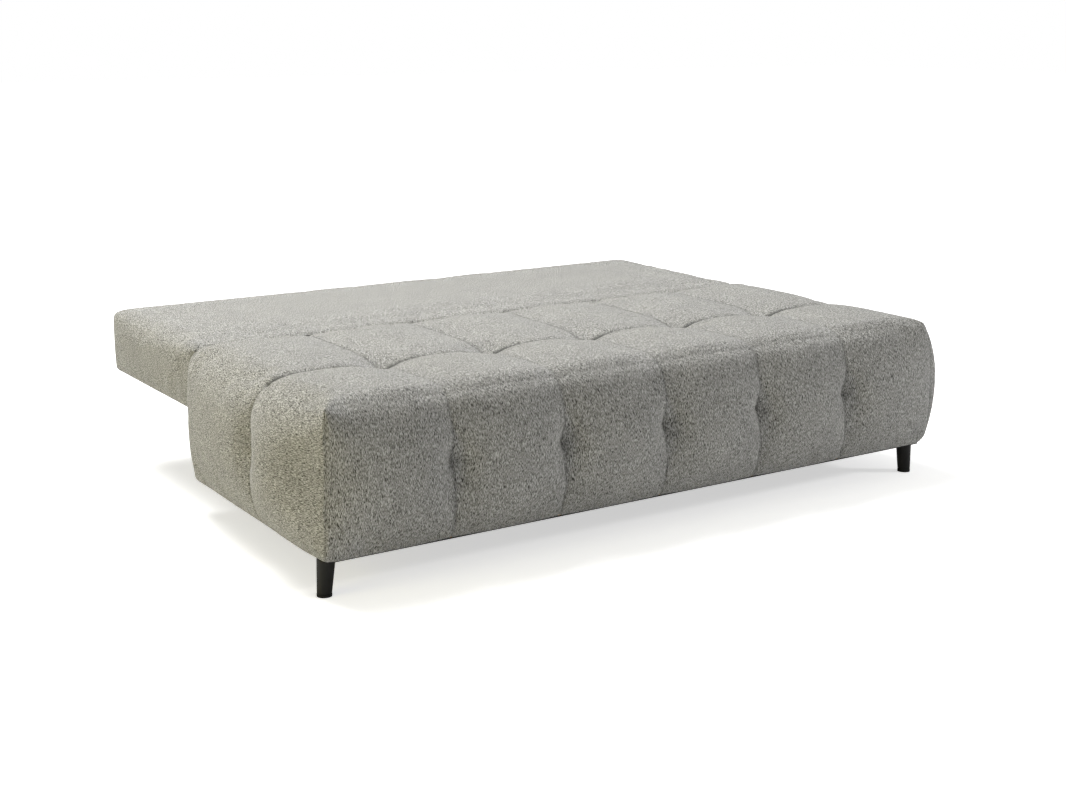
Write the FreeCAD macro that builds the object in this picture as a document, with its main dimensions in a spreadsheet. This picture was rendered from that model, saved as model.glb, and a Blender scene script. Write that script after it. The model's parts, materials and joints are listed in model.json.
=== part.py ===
# Futon sofa bed: an upholstered seat block and a backrest that folds down flat behind it.
#
# +X runs along the width, +Y to the rear, +Z up. The origin is on the floor, under the centre
# of the part's bounding box. The backrest is drawn folded flat, level with the seat.
import FreeCAD, Part
import operator
import os

import Sketcher

os.makedirs("parts", exist_ok=True)
doc = FreeCAD.newDocument("sofa_bed")

# Driving dimensions in millimetres: alias, value, what it is.
SIZES = [
    ("bed_width", 1860, "backrest, over its upholstery"),
    ("seat_overhang", 8, "how far the seat frame reaches past each end of the backrest"),
    ("seat_depth", 800, "front corners of the seat block to the fold line"),
    ("back_depth", 635, "fold line to the rear edge"),
    ("seat_height", 450, "floor to the lying surface"),
    ("back_thickness", 180, "backrest, top to underside"),
    ("leg_height", 90, "floor to the underside of the seat block"),
    ("front_crown", 40, "how far the front face swells out"),
    ("end_crown", 37, "how far each end swells out"),
    ("edge_round", 35, "rounding of the seat's top edges"),
    ("rear_edge_round", 12, "rounding of the seat's edge along the fold line"),
    ("fold_round", 30, "rounding of the backrest's edge along the fold line"),
    ("back_edge_round", 20, "rounding of the backrest's other top edges"),
    ("fold_gap", 1, "between seat and backrest at the fold line"),
    ("seat_foam", 110, "seat cushion, down to the slats"),
    ("back_foam", 105, "backrest cushion, down to the slats"),
    ("corner_foam", 2, "padding over the seat frame's lower corners"),
    ("rear_foam", 15, "padding on the seat's rear face"),
    ("fold_foam", 56, "padding on the backrest's front edge"),
    ("edge_foam", 20, "padding on the backrest's rear edge and ends"),
    ("slat_thickness", 12, "bed slats"),
    ("slat_gap", 60, "between one slat and the next"),
    ("slat_count", 12, "slats in the seat, and in the backrest"),
    ("rail_thickness", 25, "timber rails"),
    ("post_side", 60, "timber corner posts, square"),
    ("cross_rail_spacing", 450, "from one seat cross rail to the next"),
    ("cover_board", 4, "board that closes each underside"),
    ("leg_top_diameter", 44, "legs"),
    ("leg_foot_diameter", 35, "legs"),
    ("leg_splay", 7, "how far a foot stands outside the top of its leg"),
    ("leg_end_inset", 15, "leg centre from the outer face of the seat frame"),
    ("leg_front_inset", 43, "leg centre from the seat block's front corners"),
    ("glide_diameter", 36, "foot glides"),
    ("glide_thickness", 6, "foot glides"),
    ("stud_diameter", 8, "threaded stud that holds a leg"),
    ("stud_grip", 45, "stud length inside a leg, and inside a corner post"),
    ("rear_stud_reach", 25, "stud length inside the rear cross tube"),
    ("hinge_slat", 4, "slat gap that a hinge stands in, counted from the middle"),
    ("bracket_thickness", 6, "fixed hinge plate"),
    ("hinge_eye", 18, "radius of the eyes around the pivot"),
    ("web_haunch", 12, "sloped corner where the fixed hinge plate widens"),
    ("flange_width", 80, "bracket flange on the seat's rear face"),
    ("flange_thickness", 4, "bracket flange on the seat's rear face"),
    ("flange_margin", 15, "flange to the undersides of the seat and the backrest"),
    ("arm_thickness", 5, "moving hinge plate"),
    ("arm_foot_width", 24, "foot of the moving hinge plate"),
    ("arm_foot_thickness", 4, "foot of the moving hinge plate"),
    ("arm_reach", 170, "moving hinge plate, behind the pivot"),
    ("plate_gap", 1, "between the two hinge plates"),
    ("washer_thickness", 0.8, "washer between the two hinge plates"),
    ("washer_diameter", 30, "washer between the two hinge plates"),
    ("pivot_diameter", 12, "hinge pin"),
    ("pivot_clearance", 0.05, "radial, pin in the fixed plate"),
    ("pivot_head", 20, "diameter of the hinge pin's head and clip"),
    ("pivot_head_height", 3, "hinge pin's head"),
    ("clip_thickness", 2, "clip on the hinge pin's far end"),
    ("slot_clearance", 3, "from hinge steelwork to the foam around it"),
    ("tube_side", 40, "rear cross tube, square"),
    ("tube_wall", 2, "rear cross tube"),
    ("tube_setback", 160, "fold line to the front of the rear cross tube"),
    ("tube_drop", 15, "top of the cross tube below the top of the flange"),
    ("rear_leg_inset", 45, "rear leg centre from its hinge plate"),
    ("bolt_diameter", 8, "bracket bolts"),
    ("bolt_head", 16, "diameter of the bracket bolts' heads and nuts"),
    ("bolt_head_height", 4, "bracket bolts' heads and nuts"),
    ("bolt_edge", 20, "bracket bolts from the flange's ends"),
    ("screw_diameter", 6, "arm screws"),
    ("screw_head", 11, "diameter of the arm screws' heads"),
    ("screw_head_height", 3, "arm screws' heads"),
    ("screw_length", 36, "arm screws, under the head"),
    ("screw_count", 3, "screws in each arm"),
    ("screw_pitch", 50, "from one arm screw to the next"),
    ("hole_clearance", 0.25, "radial, bolts and screws in their holes"),
    ("bumper_length", 60, "rubber rest under the flat backrest"),
    ("bumper_margin", 5, "rubber rest from the tube's edges"),
    ("bumper_spacing", 600, "between the two rubber rests"),
    ("bumper_gap", 0.5, "rubber rest to the backrest's underside"),
]

OPERATIONS = {"+": operator.add, "-": operator.sub, "*": operator.mul, "/": operator.truediv}


class Formula:
    """A size worked out from the sheet: its expression in the document, and its value now."""

    def __init__(self, text, value):
        self.text = text
        self.value = value

    def combine(self, sign, other):
        other = as_formula(other)
        value = OPERATIONS[sign](self.value, other.value)
        return Formula(f"({self.text} {sign} {other.text})", value)

    def __add__(self, other):
        return self.combine("+", other)

    def __sub__(self, other):
        return self.combine("-", other)

    def __mul__(self, other):
        return self.combine("*", other)

    def __truediv__(self, other):
        return self.combine("/", other)

    def __neg__(self):
        return as_formula(0).combine("-", self)


def as_formula(size):
    return size if isinstance(size, Formula) else Formula(repr(size), size)


sheet = doc.addObject("Spreadsheet::Sheet", "Sizes")
for row, (alias, number, meaning) in enumerate(SIZES, start=1):
    sheet.set(f"A{row}", meaning)
    sheet.set(f"B{row}", str(number))
    sheet.setAlias(f"B{row}", alias)
doc.recompute()


def size(alias):
    return Formula(f"Sizes.{alias}", float(getattr(sheet, alias)))


# Helpers: bound sizes, primitives, booleans and profiles.

def bind(item, prop, formula):
    item.setExpression(prop, as_formula(formula).text)


def add(kind, label):
    item = doc.addObject(kind, label)
    item.Label = label
    return item


def place(item, x, y, z):
    for axis, where in zip("xyz", (x, y, z)):
        bind(item, f"Placement.Base.{axis}", where)


def box(label, x, y, z):
    """A block between the (low, high) pairs x, y and z."""
    item = add("Part::Box", label)
    for prop, (low, high) in zip(("Length", "Width", "Height"), (x, y, z)):
        bind(item, prop, as_formula(high) - low)
    place(item, x[0], y[0], z[0])
    return item


# A trimming block is this many times as long as the piece that it trims.
OVERSIZE = 2

TURNS = {
    "x": FreeCAD.Rotation(FreeCAD.Vector(0, 1, 0), 90),
    "y": FreeCAD.Rotation(FreeCAD.Vector(1, 0, 0), -90),
    "z": FreeCAD.Rotation(),
}


def rod(label, axis, diameter, start, length):
    """A cylinder from the point start, towards the positive end of the axis."""
    item = add("Part::Cylinder", label)
    item.Placement = FreeCAD.Placement(FreeCAD.Vector(), TURNS[axis])
    bind(item, "Radius", as_formula(diameter) / 2)
    bind(item, "Height", length)
    place(item, *start)
    return item


def group(label, items):
    item = add("Part::Compound", label)
    item.Links = items
    return item


def join(label, items):
    item = add("Part::MultiFuse", label)
    item.Shapes = items
    return item


def shared(label, items):
    item = add("Part::MultiCommon", label)
    item.Shapes = items
    return item


def cut(label, base, tools):
    item = add("Part::Cut", label)
    item.Base = base
    item.Tool = group(f"{label}_openings", tools)
    return item


def on_side(side, low, high):
    """The (low, high) pair of x on the right (side 1), or its mirror image (side -1)."""
    return (low, high) if side > 0 else (-as_formula(high), -as_formula(low))


def plane(body, role):
    return next(item for item in body.Origin.OriginFeatures if item.Role == role)


def profile(body, role, name, corners):
    """A closed outline on one of the body's own planes.

    A corner is (u, v) or (u, v, radius, side): with a radius, the edge that leaves it is an
    arc, swelling to the left (side 1) or right (side -1) of the way to the next corner.
    """
    sketch = body.newObject("Sketcher::SketchObject", name)
    sketch.AttachmentSupport = (plane(body, role), [""])
    sketch.MapMode = "FlatFace"
    points = [FreeCAD.Vector(as_formula(c[0]).value, as_formula(c[1]).value, 0) for c in corners]
    starts = []
    for index, corner in enumerate(corners):
        start, end = points[index], points[(index + 1) % len(points)]
        if len(corner) == 2:
            sketch.addGeometry(Part.LineSegment(start, end))
        else:
            radius, bulge = as_formula(corner[2]).value, corner[3]
            chord = end - start
            rise = radius - (radius ** 2 - (chord.Length / 2) ** 2) ** 0.5
            outward = FreeCAD.Vector(-chord.y, chord.x, 0).normalize() * bulge
            sketch.addGeometry(Part.Arc(start, (start + end) / 2 + outward * rise, end))
        # A sketch keeps its arcs anticlockwise, so an arc may begin at the next corner.
        begins_here = sketch.getPoint(index, 1).isEqual(start, 1e-6)
        starts.append(1 if begins_here else 2)
    constraints = []
    for index in range(len(corners)):
        after = (index + 1) % len(corners)
        joint = Sketcher.Constraint("Coincident", index, 3 - starts[index], after, starts[after])
        constraints.append((joint, None))
    for index, corner in enumerate(corners):
        for kind, where in zip(("DistanceX", "DistanceY"), corner):
            where = as_formula(where)
            held = Sketcher.Constraint(kind, -1, 1, index, starts[index], where.value)
            constraints.append((held, where))
        if len(corner) > 2:
            radius = as_formula(corner[2])
            constraints.append((Sketcher.Constraint("Radius", index, radius.value), radius))
    sketch.addConstraint([constraint for constraint, _ in constraints])
    for number, (_, formula) in enumerate(constraints):
        if formula:
            sketch.setExpression(f"Constraints[{number}]", formula.text)
    return sketch


def pad(body, sketch, name, length):
    """Pads the sketch by the length, half to each side of its plane."""
    feature = body.newObject("PartDesign::Pad", name)
    feature.Profile = sketch
    feature.SideType = "Symmetric"
    bind(feature, "Length", length)
    body.Tip = feature
    return feature


def padded_profile(label, role, corners, length):
    body = add("PartDesign::Body", label)
    pad(body, profile(body, role, f"{label}_outline", corners), f"{label}_pad", length)
    return body


def arc_radius(chord, rise):
    """The radius of an arc from its chord and its rise."""
    return (rise * rise + chord * chord / 4) / (rise * 2)


nodes = []


def node(item):
    nodes.append(item)
    return item


# Planes and places that several pieces share.
back_half = size("bed_width") / 2
seat_half = back_half + size("seat_overhang")
top = size("seat_height")
bottom = size("leg_height")
rail = size("rail_thickness")
board = size("cover_board")
front = (size("front_crown") - size("seat_depth") - size("back_depth")) / 2
fold = front + size("seat_depth")
rear = fold + size("back_depth")
seat_rear = fold - size("fold_gap") / 2
back_front = fold + size("fold_gap") / 2
back_bottom = top - size("back_thickness")
pivot_y = back_front + size("fold_round")
pivot_z = top - size("fold_round")

frame_half = seat_half - size("corner_foam")
frame_front = front + size("corner_foam")
frame_rear = seat_rear - size("rear_foam")
seat_slat_top = top - size("seat_foam")
seat_rail_top = seat_slat_top - size("slat_thickness")
back_frame_front = back_front + size("fold_foam")
back_frame_rear = rear - size("edge_foam")
back_frame_half = back_half - size("edge_foam")
back_slat_top = top - size("back_foam")
back_rail_top = back_slat_top - size("slat_thickness")
slat_pitch = (size("bed_width") - size("slat_gap")) / size("slat_count")

eye = size("hinge_eye")
hinge_x = slat_pitch * size("hinge_slat")
web_in = hinge_x - size("bracket_thickness") / 2
web_out = hinge_x + size("bracket_thickness") / 2
arm_in = web_out + size("plate_gap")
arm_out = arm_in + size("arm_thickness")
foot_out = arm_in + size("arm_foot_width")
arm_rear = pivot_y + size("arm_reach")
flange_top = back_bottom - size("flange_margin")
flange_bottom = bottom + size("flange_margin")
tube_front = fold + size("tube_setback")
tube_rear = tube_front + size("tube_side")
tube_top = flange_top - size("tube_drop")
tube_bottom = tube_top - size("tube_side")
SIDES = ((-1, "left"), (1, "right"))


# Seat upholstery: one swelling block, divided into its cushion and side paddings.

def seat_form():
    round_low = top - size("edge_round")
    face_radius = arc_radius(round_low - bottom, size("front_crown"))
    end_radius = arc_radius(round_low - bottom, size("end_crown"))
    lengthways = padded_profile("seat_form_side_view", "YZ_Plane", [
        (front, bottom, face_radius, 1),
        (front, round_low, size("edge_round"), 1),
        (front + size("edge_round"), top),
        (seat_rear - size("rear_edge_round"), top, size("rear_edge_round"), 1),
        (seat_rear, top - size("rear_edge_round")),
        (seat_rear, bottom),
    ], seat_half * 2 * OVERSIZE)
    crossways = padded_profile("seat_form_front_view", "XZ_Plane", [
        (-seat_half, bottom, end_radius, 1),
        (-seat_half, round_low, size("edge_round"), 1),
        (-seat_half + size("edge_round"), top),
        (seat_half - size("edge_round"), top, size("edge_round"), 1),
        (seat_half, round_low, end_radius, 1),
        (seat_half, bottom),
    ], size("seat_depth") * 2 * OVERSIZE)
    return shared("seat_form", [lengthways, crossways])


def seat_upholstery(bolt_holes):
    form = seat_form()
    outer = seat_half + size("end_crown") * OVERSIZE
    ahead = front - size("front_crown") * OVERSIZE
    low = (bottom, seat_slat_top)

    def region(name, x, y, z):
        return shared(name, [form, box(f"{name}_region", x, y, z)])

    node(region("seat_cushion", (-outer, outer), (ahead, seat_rear), (seat_slat_top, top)))
    node(region("seat_front_padding", (-outer, outer), (ahead, frame_front), low))
    for side, name in SIDES:
        x = on_side(side, frame_half, outer)
        node(region(f"seat_{name}_end_padding", x, (frame_front, seat_rear), low))
    rear_padding = region("seat_rear_padding_whole", (-frame_half, frame_half),
                          (frame_rear, seat_rear), low)
    node(cut("seat_rear_padding", rear_padding, [bolt_holes]))


# Seat frame: corner posts, rails, cross rails, slats and the board underneath.

def slats(label, y, z):
    """A row of slats from the front rail to the rear rail."""
    count = int(sheet.slat_count)
    half_width = (slat_pitch - size("slat_gap")) / 2
    bars = []
    for number in range(count):
        middle = slat_pitch * (number - (count - 1) / 2)
        x = (middle - half_width, middle + half_width)
        bars.append(box(f"{label}_{number + 1}", x, y, z))
    return node(group(label, bars))


def seat_frame(leg_studs, bolt_holes):
    post = size("post_side")
    z = (bottom + board, seat_rail_top)
    inner = frame_half - post
    y_front = (frame_front, frame_front + post)
    y_rear = (frame_rear - post, frame_rear)
    posts = []
    for side, name in SIDES:
        x = on_side(side, inner, frame_half)
        posts.append(box(f"front_{name}_post", x, y_front, z))
        posts.append(box(f"rear_{name}_post", x, y_rear, z))
        end = on_side(side, frame_half - rail, frame_half)
        node(box(f"seat_{name}_end_rail", end, (y_front[1], y_rear[0]), z))
    node(cut("seat_corner_posts", group("corner_posts_whole", posts), [leg_studs]))
    node(box("seat_front_rail", (-inner, inner), (frame_front, frame_front + rail), z))
    rear_rail = box("rear_rail_whole", (-inner, inner), (frame_rear - rail, frame_rear), z)
    node(cut("seat_rear_rail", rear_rail, [bolt_holes]))
    for place_number, name in ((-1, "left"), (0, "centre"), (1, "right")):
        middle = size("cross_rail_spacing") * place_number
        x = (middle - rail / 2, middle + rail / 2)
        y = (frame_front + rail, frame_rear - rail)
        node(box(f"seat_{name}_cross_rail", x, y, z))
    slats("seat_slats", (frame_front, frame_rear), (seat_rail_top, seat_slat_top))
    cover = box("seat_cover_board_whole", (-frame_half, frame_half),
                (frame_front, frame_rear), (bottom, bottom + board))
    node(cut("seat_cover_board", cover, [leg_studs]))


# Legs: tapered, leaning outwards, each on a glide and held by a threaded stud.

def leg(name, x, y, side, height, reach):
    """One leg up to the given height. Returns its glide and its stud."""
    foot_x = x + size("leg_splay") * side
    rings = []
    for ring, diameter, centre, level in (
            ("foot", size("leg_foot_diameter"), foot_x, size("glide_thickness")),
            ("head", size("leg_top_diameter"), x, height)):
        circle = add("Part::Circle", f"{name}_{ring}_ring")
        bind(circle, "Radius", diameter / 2)
        place(circle, centre, y, level)
        rings.append(circle)
    taper = add("Part::Loft", f"{name}_taper")
    taper.Sections = rings
    taper.Solid = True
    glide = rod(f"{name}_glide", "z", size("glide_diameter"), (foot_x, y, 0), size("glide_thickness"))
    grip = size("stud_grip")
    stud = rod(f"{name}_stud", "z", size("stud_diameter"), (x, y, height - grip), grip + reach)
    node(cut(name, taper, [stud]))
    return glide, stud


def legs():
    """All four legs. Returns the front and the rear studs."""
    glides, front_studs, rear_studs = [], [], []
    front_x = seat_half - size("leg_end_inset")
    front_y = front + size("leg_front_inset")
    rear_x = hinge_x - size("rear_leg_inset")
    rear_y = (tube_front + tube_rear) / 2
    for side, name in SIDES:
        glide, stud = leg(f"front_{name}_leg", front_x * side, front_y, side, bottom, size("stud_grip"))
        glides.append(glide)
        front_studs.append(stud)
        glide, stud = leg(f"rear_{name}_leg", rear_x * side, rear_y, side, tube_bottom,
                          size("rear_stud_reach"))
        glides.append(glide)
        rear_studs.append(stud)
    node(group("leg_glides", glides))
    return node(group("front_leg_studs", front_studs)), node(group("rear_leg_studs", rear_studs))


# Rear chassis: a bracket behind each end of the seat, a cross tube and two rubber rests.

def hinge_bracket(name, side, bolt_holes):
    """A flange on the seat's rear face and a web that carries the pivot and the cross tube."""
    face = seat_rear + size("flange_thickness")
    body = add("PartDesign::Body", f"{name}_plates")
    flange = profile(body, "YZ_Plane", f"{name}_flange_outline", [
        (seat_rear, flange_bottom),
        (face, flange_bottom),
        (face, flange_top),
        (seat_rear, flange_top),
    ])
    pad(body, flange, f"{name}_flange", size("flange_width"))
    web = profile(body, "YZ_Plane", f"{name}_web_outline", [
        (seat_rear, flange_bottom),
        (seat_rear + eye * 2, flange_bottom),
        (tube_front, tube_bottom),
        (tube_rear, tube_bottom),
        (tube_rear, tube_top),
        (pivot_y + eye + size("web_haunch"), flange_top),
        (pivot_y + eye, flange_top + size("web_haunch")),
        (pivot_y + eye, pivot_z, eye, -1),
        (pivot_y, pivot_z + eye, eye, -1),
        (pivot_y - eye, pivot_z),
        (pivot_y - eye, flange_top),
        (seat_rear, flange_top),
    ])
    pad(body, web, f"{name}_web", size("bracket_thickness"))
    bind(body, "Placement.Base.x", hinge_x * side)
    bore_x = on_side(side, web_in, web_out)
    bore = rod(f"{name}_bore", "x", size("pivot_diameter") + size("pivot_clearance") * 2,
               (bore_x[0], pivot_y, pivot_z), size("bracket_thickness"))
    node(cut(name, body, [bore, bolt_holes]))


def bracket_bolts():
    """Bolts and nuts that hold the flanges on the rear rail. Returns the holes for them."""
    bolts, nuts, holes = [], [], []
    head_back = seat_rear + size("flange_thickness")
    inner_face = frame_rear - rail
    nut = size("bolt_head_height")
    grip = head_back - inner_face
    for side, _ in SIDES:
        for column in (-1, 1):
            for level in (flange_bottom + size("bolt_edge"), flange_top - size("bolt_edge")):
                x = hinge_x * side + size("flange_width") * column / 4
                tag = f"bracket_bolt_{len(bolts) + 1}"
                shank = rod(f"{tag}_shank", "y", size("bolt_diameter"),
                            (x, inner_face - nut, level), grip + nut)
                head = rod(f"{tag}_head", "y", size("bolt_head"), (x, head_back, level),
                           size("bolt_head_height"))
                bolts.append(join(tag, [shank, head]))
                disc = rod(f"{tag}_disc", "y", size("bolt_head"), (x, inner_face - nut, level), nut)
                nuts.append(cut(f"{tag}_nut", disc, [shank]))
                holes.append(rod(f"{tag}_hole", "y", size("bolt_diameter") + size("hole_clearance") * 2,
                                 (x, inner_face, level), grip))
    node(group("bracket_bolts", bolts))
    node(group("bracket_nuts", nuts))
    return group("bracket_bolt_holes", holes)


def cross_tube(rear_studs):
    wall = size("tube_wall")
    outer = box("cross_tube_outside", (-web_in, web_in), (tube_front, tube_rear), (tube_bottom, tube_top))
    inner = box("cross_tube_inside", (-web_in, web_in), (tube_front + wall, tube_rear - wall),
                (tube_bottom + wall, tube_top - wall))
    node(cut("rear_cross_tube", outer, [inner, rear_studs]))
    rests = []
    for side, name in SIDES:
        middle = size("bumper_spacing") / 2 * side
        x = (middle - size("bumper_length") / 2, middle + size("bumper_length") / 2)
        y = (tube_front + size("bumper_margin"), tube_rear - size("bumper_margin"))
        rests.append(box(f"{name}_rest", x, y, (tube_top, back_bottom - size("bumper_gap"))))
    node(group("backrest_rests", rests))


# Fold pivots and the arms that carry the backrest.

def pivot(name, side):
    """One hinge pin with its clip, which turn with the backrest, and its fixed washer."""
    diameter = size("pivot_diameter")
    clip = on_side(side, web_in - size("clip_thickness") * 2, web_in - size("clip_thickness"))
    shank = on_side(side, web_in - size("clip_thickness") * 3, arm_out)
    head = on_side(side, arm_out, arm_out + size("pivot_head_height"))
    washer = on_side(side, web_out, web_out + size("washer_thickness"))

    def disc(label, width, x):
        return rod(label, "x", width, (x[0], pivot_y, pivot_z), as_formula(x[1]) - x[0])

    pin = disc(f"{name}_pin_shank", diameter, shank)
    node(join(f"{name}_pivot_pin", [pin, disc(f"{name}_pin_head", size("pivot_head"), head)]))
    ring = cut(f"{name}_clip", disc(f"{name}_clip_disc", size("pivot_head"), clip), [pin])
    bore = disc(f"{name}_washer_bore", diameter + size("pivot_clearance") * 2, washer)
    plate = disc(f"{name}_washer_disc", size("washer_diameter"), washer)
    return ring, cut(f"{name}_washer", plate, [bore])


def hinge_arm(name, side, screw_holes):
    """The moving plate: an eye on the pivot, and a foot screwed down on the backrest frame."""
    start = back_frame_front + size("slot_clearance")
    body = add("PartDesign::Body", f"{name}_plate")
    outline = profile(body, "YZ_Plane", f"{name}_outline", [
        (start, back_rail_top),
        (arm_rear, back_rail_top),
        (arm_rear, back_slat_top),
        (pivot_y + eye * 2, pivot_z),
        (pivot_y, pivot_z + eye, eye, -1),
        (pivot_y - eye, pivot_z, eye, -1),
        (pivot_y, pivot_z - eye),
    ])
    pad(body, outline, f"{name}_web", size("arm_thickness"))
    bind(body, "Placement.Base.x", (arm_in + arm_out) / 2 * side)
    foot = box(f"{name}_foot", on_side(side, arm_in, foot_out), (start, arm_rear),
               (back_rail_top, back_rail_top + size("arm_foot_thickness")))
    x = on_side(side, arm_in, arm_out)
    bore = rod(f"{name}_bore", "x", size("pivot_diameter"), (x[0], pivot_y, pivot_z),
               size("arm_thickness"))
    node(cut(name, join(f"{name}_whole", [body, foot]), [bore, screw_holes]))


def arm_screws():
    """Screws down through the arms' feet. Returns the holes for them."""
    screws, holes = [], []
    foot_top = back_rail_top + size("arm_foot_thickness")
    length = size("screw_length")
    for side, _ in SIDES:
        for number in range(int(sheet.screw_count)):
            y = back_frame_front + rail / 2 + size("screw_pitch") * number
            x = (arm_out + foot_out) / 2 * side
            tag = f"arm_screw_{len(screws) + 1}"
            shank = rod(f"{tag}_shank", "z", size("screw_diameter"), (x, y, foot_top - length), length)
            head = rod(f"{tag}_head", "z", size("screw_head"), (x, y, foot_top),
                       size("screw_head_height"))
            screws.append(join(tag, [shank, head]))
            holes.append(rod(f"{tag}_hole", "z", size("screw_diameter") + size("hole_clearance") * 2,
                             (x, y, foot_top - length), length))
    node(group("arm_screws", screws))
    return group("arm_screw_holes", holes)


# Backrest: its upholstery, with a slot on the underside at each hinge, and its frame.

def back_form():
    lengthways = padded_profile("back_form_side_view", "YZ_Plane", [
        (back_front, back_bottom),
        (back_front, pivot_z, size("fold_round"), 1),
        (pivot_y, top),
        (rear - size("back_edge_round"), top, size("back_edge_round"), 1),
        (rear, top - size("back_edge_round")),
        (rear, back_bottom),
    ], back_half * 2 * OVERSIZE)
    crossways = padded_profile("back_form_front_view", "XZ_Plane", [
        (-back_half, back_bottom),
        (-back_half, top - size("back_edge_round"), size("back_edge_round"), 1),
        (-back_half + size("back_edge_round"), top),
        (back_half - size("back_edge_round"), top, size("back_edge_round"), 1),
        (back_half, top - size("back_edge_round")),
        (back_half, back_bottom),
    ], rear * 2 * OVERSIZE)
    return shared("back_form", [lengthways, crossways])


def back_upholstery():
    form = back_form()
    space = size("slot_clearance")
    low = (back_bottom, back_slat_top)
    slots = []
    for side, name in SIDES:
        x = on_side(side, web_in - size("clip_thickness") * 3 - space, foot_out + space)
        slots.append(box(f"{name}_hinge_slot", x, (back_front - space, arm_rear + space),
                         (back_bottom - space, pivot_z + eye + space)))
    slots = group("hinge_slots", slots)

    def region(name, x, y, z):
        return shared(name, [form, box(f"{name}_region", x, y, z)])

    cushion = region("back_cushion_whole", (-back_half, back_half), (back_front, rear),
                     (back_slat_top, top))
    node(cut("back_cushion", cushion, [slots]))
    padding = region("back_front_padding_whole", (-back_half, back_half),
                     (back_front, back_frame_front), low)
    node(cut("back_front_padding", padding, [slots]))
    node(region("back_rear_padding", (-back_half, back_half), (back_frame_rear, rear), low))
    for side, name in SIDES:
        node(region(f"back_{name}_end_padding", on_side(side, back_frame_half, back_half),
                    (back_frame_front, back_frame_rear), low))


def back_frame(screw_holes):
    z = (back_bottom + board, back_rail_top)
    inside = (back_frame_front + rail, back_frame_rear - rail)
    across = (-back_frame_half, back_frame_half)
    front_rail = box("back_front_rail_whole", across, (back_frame_front, back_frame_front + rail), z)
    node(cut("back_front_rail", front_rail, [screw_holes]))
    node(box("back_rear_rail", across, (back_frame_rear - rail, back_frame_rear), z))
    for side, name in SIDES:
        end = on_side(side, back_frame_half - rail, back_frame_half)
        node(box(f"back_{name}_end_rail", end, inside, z))
        stile = box(f"{name}_stile_whole", on_side(side, arm_in, arm_in + rail), inside, z)
        node(cut(f"back_{name}_stile", stile, [screw_holes]))
    slats("back_slats", (back_frame_front, back_frame_rear), (back_rail_top, back_slat_top))
    node(box("back_cover_board", across, (back_frame_front, back_frame_rear),
             (back_bottom, back_bottom + board)))


front_leg_studs, rear_leg_studs = legs()
flange_holes = bracket_bolts()
seat_upholstery(flange_holes)
seat_frame(front_leg_studs, flange_holes)
cross_tube(rear_leg_studs)
foot_holes = arm_screws()
clips, washers = [], []
for side, name in SIDES:
    hinge_bracket(f"{name}_hinge_bracket", side, flange_holes)
    hinge_arm(f"{name}_hinge_arm", side, foot_holes)
    ring, washer = pivot(name, side)
    clips.append(ring)
    washers.append(washer)
node(group("pivot_clips", clips))
node(group("pivot_washers", washers))
back_upholstery()
back_frame(foot_holes)

doc.recompute()
for item in doc.Objects:
    if "Invalid" in item.State or "Error" in item.State:
        raise RuntimeError(f"{item.Label} failed: {item.State}")
for item in nodes:
    if item.Shape.isNull() or not item.Shape.isValid() or not item.Shape.Solids:
        raise RuntimeError(f"{item.Label} has no valid solid")
    item.Shape.exportStep(f"parts/{item.Label}.step")
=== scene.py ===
# %% [markdown]
# # A futon sofa bed
#
# The object is two soft pieces. The seat is a fully upholstered block with tufts and sewn
# seams. The backrest is a smooth cushion that folds flat behind it. Below them are black
# tapered legs and the steel chassis that carries the fold.
#
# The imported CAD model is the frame: every size and place below is read from its nodes.

# %% Load the frame
import json
import math

import bmesh
import bpy
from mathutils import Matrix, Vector


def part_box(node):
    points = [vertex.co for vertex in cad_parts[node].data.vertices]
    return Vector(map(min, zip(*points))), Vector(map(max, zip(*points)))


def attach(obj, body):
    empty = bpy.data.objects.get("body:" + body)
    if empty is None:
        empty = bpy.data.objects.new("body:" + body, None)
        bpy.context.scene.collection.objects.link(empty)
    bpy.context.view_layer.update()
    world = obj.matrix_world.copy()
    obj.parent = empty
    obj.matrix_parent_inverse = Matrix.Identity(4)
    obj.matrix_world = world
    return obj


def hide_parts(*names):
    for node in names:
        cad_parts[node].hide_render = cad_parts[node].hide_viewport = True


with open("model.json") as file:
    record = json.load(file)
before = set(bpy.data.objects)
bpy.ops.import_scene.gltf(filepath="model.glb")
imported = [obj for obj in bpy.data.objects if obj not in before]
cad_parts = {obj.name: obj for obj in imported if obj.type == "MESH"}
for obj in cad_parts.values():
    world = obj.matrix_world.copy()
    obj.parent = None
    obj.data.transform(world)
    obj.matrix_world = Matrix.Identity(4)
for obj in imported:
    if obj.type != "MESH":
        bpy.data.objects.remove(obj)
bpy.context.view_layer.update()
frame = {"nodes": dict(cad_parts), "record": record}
MM = 0.001


def around(*nodes):
    """The box around several CAD nodes."""
    boxes = [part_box(node) for node in nodes]
    low = Vector(min(b[0][axis] for b in boxes) for axis in range(3))
    high = Vector(max(b[1][axis] for b in boxes) for axis in range(3))
    return low, high


seat_nodes = [name for name in frame["nodes"] if name.startswith("seat_")
              and name.endswith(("cushion", "padding"))]
back_nodes = [name for name in frame["nodes"] if name.startswith("back_")
              and name.endswith(("cushion", "padding"))]
seat_low, seat_high = around(*seat_nodes)
back_low, back_high = around(*back_nodes)
print("seat", seat_low, seat_high)
print("backrest", back_low, back_high)

# %% [markdown]
# ## A block with an even grid
#
# Upholstery is shaped by moving many points, so each cushion starts as a box whose faces are
# cut into a grid. A loop cut needs a window, but subdividing only the edges that run one way
# does the same thing: every face with two such edges is cut into strips.

# %% Boxes cut into grids


def start_fresh():
    """Leaves nothing selected, so that the next operator acts on the new piece alone."""
    bpy.ops.object.select_all(action="DESELECT")


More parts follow.
